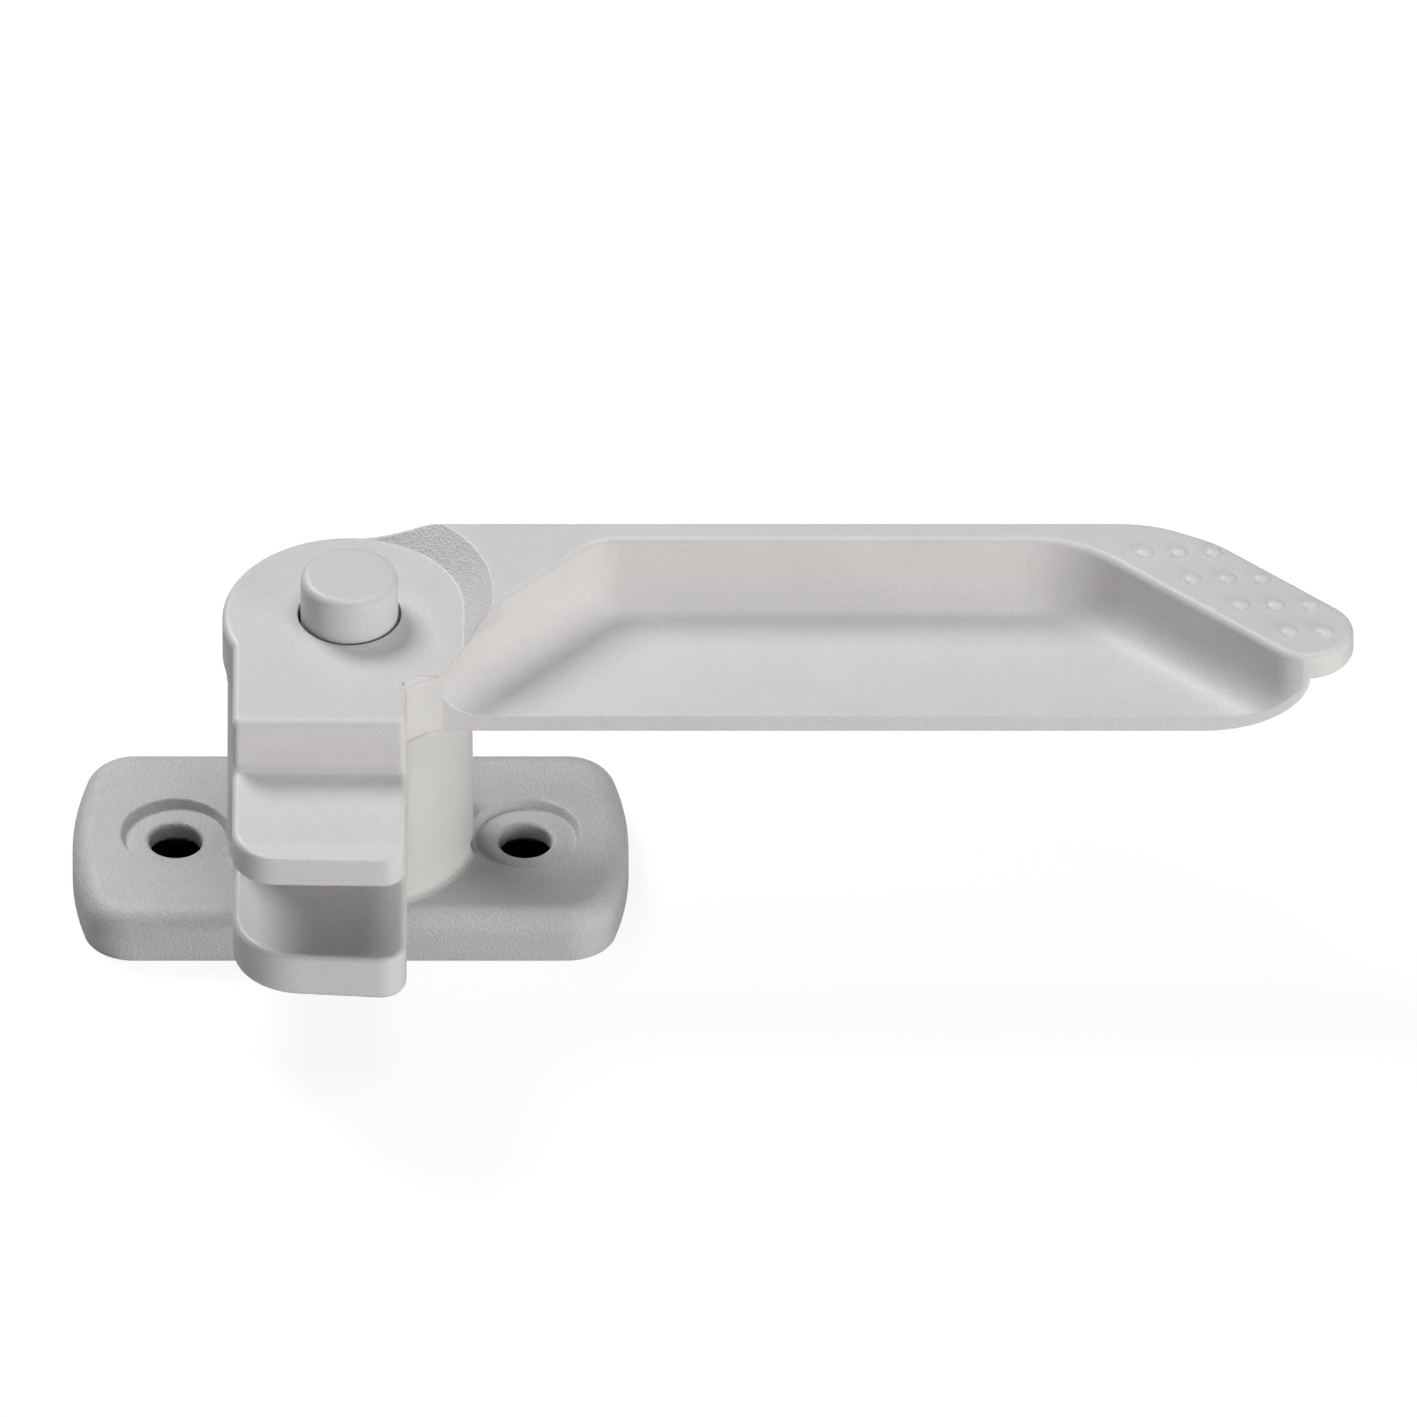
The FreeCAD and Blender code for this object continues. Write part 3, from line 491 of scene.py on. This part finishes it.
@dataclass
class ThumbTab:
    """The grip dots on the thumb tab, as smooth domes over the solid's own."""

    handle_top: float = 35.5 * MM
    dot_radius: float = 0.95 * MM
    dot_height: float = 0.4 * MM
    cover: float = 0.02 * MM
    sink: float = 0.05 * MM
    first_x: float = 79.4 * MM
    first_y: float = 6.9 * MM
    pitch: float = 3.45 * MM
    row_pitch: float = 4.3 * MM
    row_shift: float = 4.8 * MM
    row_counts: tuple[int, ...] = (3, 3, 3, 2)
    ball_segments: int = 48

    def build(self, material: bpy.types.Material) -> bpy.types.Object:
        """Make the domes as one piece that turns with the lever.

        Args:
            material: The lever's plastic.

        Returns:
            The finished piece.
        """
        dots = bmesh.new()
        for row, count in enumerate(self.row_counts):
            for column in range(count):
                x = self.first_x + row * self.row_shift + column * self.pitch
                self.add_dome(dots, x, self.first_y - row * self.row_pitch)
        return finish_piece(dots, "grip_dots", material, "lever")

    def add_dome(self, dots: bmesh.types.BMesh, x: float, y: float) -> None:
        """Add one closed dome, a ball cut off just under the handle's top.

        Args:
            dots: The mesh that gets the dome.
            x: The dome's place along the handle.
            y: The dome's place across the handle.
        """
        ball_radius = (self.dot_radius ** 2 + self.dot_height ** 2) / (2 * self.dot_height) + self.cover
        centre = Vector((x, y, self.handle_top + self.dot_height + self.cover - ball_radius))
        ball = bmesh.new()
        bmesh.ops.create_uvsphere(ball, u_segments=self.ball_segments, v_segments=self.ball_segments,
                                  radius=ball_radius)
        bmesh.ops.translate(ball, verts=ball.verts, vec=centre)
        cut = bmesh.ops.bisect_plane(ball, geom=ball.verts[:] + ball.edges[:] + ball.faces[:],
                                     plane_co=(0.0, 0.0, self.handle_top - self.sink),
                                     plane_no=(0.0, 0.0, -1.0), clear_outer=True)
        rim = [item for item in cut["geom_cut"] if isinstance(item, bmesh.types.BMEdge)]
        bmesh.ops.edgeloop_fill(ball, edges=rim)
        mesh = bpy.data.meshes.new("dome")
        ball.to_mesh(mesh)
        ball.free()
        dots.from_mesh(mesh)
        bpy.data.meshes.remove(mesh)


@dataclass
class HubCorner:
    """The fillet that runs the claw's side into the handle's front, beside the hub."""

    wall_x: float = 5.5 * MM
    wall_y: float = -12.35 * MM
    front_x: float = 9.35 * MM
    front_y: float = -10.14 * MM
    back_y: float = -9.0 * MM
    bottom: float = 26.44 * MM
    top: float = 33.17 * MM
    hollow: float = 0.32 * MM
    steps: int = 10
    rim_radius: float = 0.8 * MM
    rim_steps: int = 6

    def build(self, material: bpy.types.Material) -> bpy.types.Object:
        """Make the fillet as a closed post that turns with the lever.

        Args:
            material: The lever's plastic.

        Returns:
            The finished piece.
        """
        post = bmesh.new()
        start = Vector((self.wall_x, self.wall_y, self.bottom))
        run = Vector((self.front_x, self.front_y, self.bottom)) - start
        inward = Vector((-run.y, run.x, 0.0)).normalized()
        face = []
        for step in range(self.steps + 1):
            share = step / self.steps
            depth = self.hollow * math.sin(math.pi * share)
            face.append(post.verts.new(start + run * share + inward * depth))
        back = [post.verts.new((x, self.back_y, self.bottom)) for x in (self.front_x, self.wall_x)]
        foot = post.faces.new(face + back)
        raised = bmesh.ops.extrude_face_region(post, geom=[foot])["geom"]
        top_verts = [item for item in raised if isinstance(item, bmesh.types.BMVert)]
        bmesh.ops.translate(post, verts=top_verts, vec=(0.0, 0.0, self.top - self.bottom))
        middle_y = (self.front_y + self.back_y) / 2
        front = {vert for vert in top_verts if vert.co.y < middle_y}
        rim = [edge for edge in post.edges if set(edge.verts) <= front]
        bmesh.ops.bevel(post, geom=rim, offset=self.rim_radius, segments=self.rim_steps, profile=0.5,
                        affect="EDGES", material=-1)
        return finish_piece(post, "hub_corner", material, "lever")


@dataclass
class FlashMarks:
    """The fine raised lines and nubs that the mould's parting left on the claw, with their ends in mm."""

    line_radius: float = 0.08 * MM
    sides: int = 12
    rings: int = 9
    lines: tuple[tuple[Triple, Triple], ...] = (
        ((-5.4, -32.3, 24.7), (3.6, -32.49, 24.7)),
        ((-3.2, -31.84, 12.7), (0.0, -32.1, 12.7)),
        ((5.73, -17.2, 25.9), (5.73, -17.2, 27.2)),
        ((-11.58, -17.2, 25.9), (-11.58, -17.2, 26.9)),
    )

    def build(self, material: bpy.types.Material) -> bpy.types.Object:
        """Make the marks as one piece that turns with the lever.

        Args:
            material: The lever's plastic.

        Returns:
            The finished piece.
        """
        marks = bmesh.new()
        for start, end in self.lines:
            self.add_line(marks, Vector(start) * MM, Vector(end) * MM)
        return finish_piece(marks, "flash_marks", material, "lever")

    def add_line(self, marks: bmesh.types.BMesh, start: Vector, end: Vector) -> None:
        """Add one line as a slim rod with rounded ends, which lies half sunk in its face.

        Args:
            marks: The mesh that gets the line.
            start: One end of the line.
            end: The other end.
        """
        run = end - start
        middle = (start + end) / 2
        turn = run.to_track_quat("Z", "Y").to_matrix().to_4x4()
        made = bmesh.ops.create_uvsphere(marks, u_segments=self.sides, v_segments=self.rings,
                                         radius=self.line_radius, matrix=Matrix.Translation(middle) @ turn)
        half = run.normalized() * (run.length / 2 - self.line_radius)
        for vert in made["verts"]:
            side = (vert.co - middle).dot(run)
            vert.co += half if side > 0 else -half


def finish_piece(shape: bmesh.types.BMesh, name: str, material: bpy.types.Material, body: str) -> bpy.types.Object:
    """Turn a bmesh into a smooth piece that rides on a body.

    Args:
        shape: The bmesh, which is freed.
        name: The piece's name.
        material: The piece's material.
        body: The body that carries the piece.

    Returns:
        The new piece.
    """
    bmesh.ops.recalc_face_normals(shape, faces=shape.faces)
    for face in shape.faces:
        face.smooth = True
    for edge in shape.edges:
        edge.smooth = edge.calc_face_angle(0.0) < CREASE_ANGLE
    mesh = bpy.data.meshes.new(name)
    shape.to_mesh(mesh)
    shape.free()
    mesh.materials.append(material)
    piece = bpy.data.objects.new(name, mesh)
    bpy.context.scene.collection.objects.link(piece)
    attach(piece, body)
    LOG.info("%s rides on %s", name, body)
    return piece


@dataclass(frozen=True)
class SoftBox:
    """A round soft box, hung in one direction from the latch."""

    name: str
    direction: Triple
    distance: float
    size: float
    watts: float
    colour: Triple
    shines: bool = True

    def hang(self, look_at: Vector) -> None:
        """Hang the soft box and turn it to the latch.

        Args:
            look_at: The place that the lamp faces.
        """
        data = bpy.data.lights.new(self.name, "AREA")
        data.shape = "DISK"
        data.size = self.size
        data.energy = self.watts
        data.color = self.colour
        lamp = bpy.data.objects.new(self.name, data)
        away = Vector(self.direction).normalized()
        lamp.location = look_at + away * self.distance
        lamp.rotation_euler = away.to_track_quat("Z", "Y").to_euler()
        lamp.visible_camera = False
        lamp.visible_glossy = self.shines
        bpy.context.scene.collection.objects.link(lamp)


@dataclass
class Studio:
    """The floor, the lights and the camera, placed around the latch."""

    look_at: Vector = field(default_factory=lambda: Vector((35.85, 1.46, 20.0)) * MM)
    elevation: float = 37.95
    lens: float = 1500.0
    sensor: float = 36.0
    pixels_per_mm: float = 10.0
    view_depth: float = 20.0
    sky_strength: float = 0.03
    floor_grey: float = 0.45
    floor_roughness: float = 0.9
    # Painted shade: the floor's colour under the base.
    painted_shade_grey: float = 0.02
    shadow_lightening: float = 0.65
    backdrop_white: float = 1.36
    floor_size: float = 3.0
    floor_gap: float = 0.05 * MM
    footprint: tuple[float, float] = (22.5 * MM, 9.0 * MM)
    lamps: tuple[SoftBox, ...] = (
        SoftBox("key_box", (-0.58, 0.73, 1.0), distance=0.8, size=0.34, watts=4.6, colour=(1.0, 0.99, 1.0)),
        SoftBox("top_box", (0.15, 0.0, 1.0), distance=0.7, size=0.34, watts=1.7, colour=(1.0, 0.99, 1.0)),
        SoftBox("front_box", (0.0, -1.0, 0.12), distance=0.7, size=0.34, watts=1.1, colour=(1.0, 0.99, 0.97),
                shines=False),
        SoftBox("right_box", (1.0, -0.95, 0.1), distance=0.7, size=0.34, watts=4.6, colour=(1.0, 0.99, 0.97),
                shines=False),
    )

    def build(self) -> None:
        """Set up the whole studio."""
        self.add_floor()
        self.add_world()
        for lamp in self.lamps:
            lamp.hang(self.look_at)
        self.add_camera()
        bpy.context.scene.view_settings.view_transform = "Standard"

    def add_floor(self) -> None:
        """Lay a pale floor that looks white but keeps the latch's shadow, and can't be seen from below; under the
        base it is painted near black, a painted shade seen through the screw holes.
        """
        mesh = bpy.data.meshes.new("studio_floor")
        shape = bmesh.new()
        bmesh.ops.create_grid(shape, x_segments=1, y_segments=1, size=self.floor_size)
        bmesh.ops.translate(shape, verts=shape.verts, vec=(0.0, 0.0, -self.floor_gap))
        shape.to_mesh(mesh)
        shape.free()
        floor = bpy.data.objects.new("studio_floor", mesh)
        bpy.context.scene.collection.objects.link(floor)
        material = bpy.data.materials.new("studio_floor")
        material.use_nodes = True
        tree = material.node_tree
        shader = tree.nodes["Principled BSDF"]
        shader.inputs["Roughness"].default_value = self.floor_roughness
        shader.inputs["Specular IOR Level"].default_value = 0.0
        unpainted_floor = self.add_footprint_mask(tree)
        # Painted shade: the floor under the base is painted near black, so the screw holes look dark.
        tone = add_node(tree, "ShaderNodeMapRange", To_Min=self.painted_shade_grey, To_Max=self.floor_grey)
        lift = add_node(tree, "ShaderNodeMapRange", To_Max=self.shadow_lightening)
        tree.links.new(unpainted_floor, tone.inputs["Value"])
        tree.links.new(unpainted_floor, lift.inputs["Value"])
        tree.links.new(tone.outputs["Result"], shader.inputs["Base Color"])
        paths = add_node(tree, "ShaderNodeLightPath")
        share = add_node(tree, "ShaderNodeMath", operation="MULTIPLY")
        tree.links.new(lift.outputs["Result"], share.inputs[1])
        white = add_node(tree, "ShaderNodeEmission", Strength=self.backdrop_white)
        blend = add_node(tree, "ShaderNodeMixShader")
        tree.links.new(paths.outputs["Is Camera Ray"], share.inputs[0])
        tree.links.new(share.outputs[0], blend.inputs["Fac"])
        tree.links.new(shader.outputs["BSDF"], blend.inputs[1])
        tree.links.new(white.outputs["Emission"], blend.inputs[2])
        surface = add_node(tree, "ShaderNodeNewGeometry")
        clear = add_node(tree, "ShaderNodeBsdfTransparent")
        one_sided = add_node(tree, "ShaderNodeMixShader")
        tree.links.new(surface.outputs["Backfacing"], one_sided.inputs["Fac"])
        tree.links.new(blend.outputs["Shader"], one_sided.inputs[1])
        tree.links.new(clear.outputs["BSDF"], one_sided.inputs[2])
        tree.links.new(one_sided.outputs["Shader"], tree.nodes["Material Output"].inputs["Surface"])
        mesh.materials.append(material)

    def add_footprint_mask(self, tree: bpy.types.NodeTree) -> bpy.types.NodeSocket:
        """Add a mask that is 0 on the floor that the base covers and 1 elsewhere; where it is 0 the floor gets
        painted shade.

        Args:
            tree: The floor material's node tree.

        Returns:
            The socket with the mask.
        """
        place = add_node(tree, "ShaderNodeTexCoord")
        size = add_node(tree, "ShaderNodeVectorMath", operation="ABSOLUTE")
        axes = add_node(tree, "ShaderNodeSeparateXYZ")
        beyond = add_node(tree, "ShaderNodeMath", operation="MAXIMUM")
        tree.links.new(place.outputs["Object"], size.inputs[0])
        tree.links.new(size.outputs["Vector"], axes.inputs["Vector"])
        for index, (axis, reach) in enumerate(zip("XY", self.footprint)):
            outside = add_node(tree, "ShaderNodeMath", operation="GREATER_THAN")
            outside.inputs[1].default_value = reach
            tree.links.new(axes.outputs[axis], outside.inputs[0])
            tree.links.new(outside.outputs[0], beyond.inputs[index])
        return beyond.outputs[0]

    def add_world(self) -> None:
        """Fill the studio weakly from all round, and show the camera pure white behind."""
        world = bpy.data.worlds.new("studio")
        bpy.context.scene.world = world
        world.use_nodes = True
        tree = world.node_tree
        link = tree.links.new
        background = tree.nodes["Background"]
        paths = add_node(tree, "ShaderNodeLightPath")
        seen = add_node(tree, "ShaderNodeMix", data_type="FLOAT")
        seen.inputs[NUMBER_A].default_value = self.sky_strength
        seen.inputs[NUMBER_B].default_value = 1.0
        link(paths.outputs["Is Camera Ray"], seen.inputs["Factor"])
        link(seen.outputs[NUMBER_RESULT], background.inputs["Strength"])
        background.inputs["Color"].default_value = (1.0, 1.0, 1.0, 1.0)

    def add_camera(self) -> None:
        """Aim a long lens at the latch from in front and above, framed as the photograph is."""
        data = bpy.data.cameras.new("camera")
        data.lens = self.lens
        data.sensor_width = self.sensor
        data.clip_end = self.view_depth
        width = PHOTO_PIXELS / self.pixels_per_mm * MM
        distance = width * self.lens / self.sensor
        camera = bpy.data.objects.new("camera", data)
        tilt = math.radians(self.elevation)
        away = Vector((0.0, -math.cos(tilt), math.sin(tilt)))
        camera.location = self.look_at + away * distance
        camera.rotation_euler = away.to_track_quat("Z", "Y").to_euler()
        bpy.context.scene.collection.objects.link(camera)
        bpy.context.scene.camera = camera


def main() -> None:
    """Load the frame, dress the latch and light it."""
    logging.basicConfig(level=logging.INFO)
    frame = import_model()
    groups = {"grain": mould_grain_group(), "edge": edge_group()}
    LatchPieces(frame["nodes"]).dress(groups)
    raised = RAISED_PLASTIC.build(groups)
    ThumbTab().build(raised)
    HubCorner().build(raised)
    FlashMarks().build(raised)
    spring = frame["nodes"]["button_spring"]
    ButtonCoil(spring).build(spring.data.materials[0])
    Studio().build()


if __name__ == "__main__":
    main()
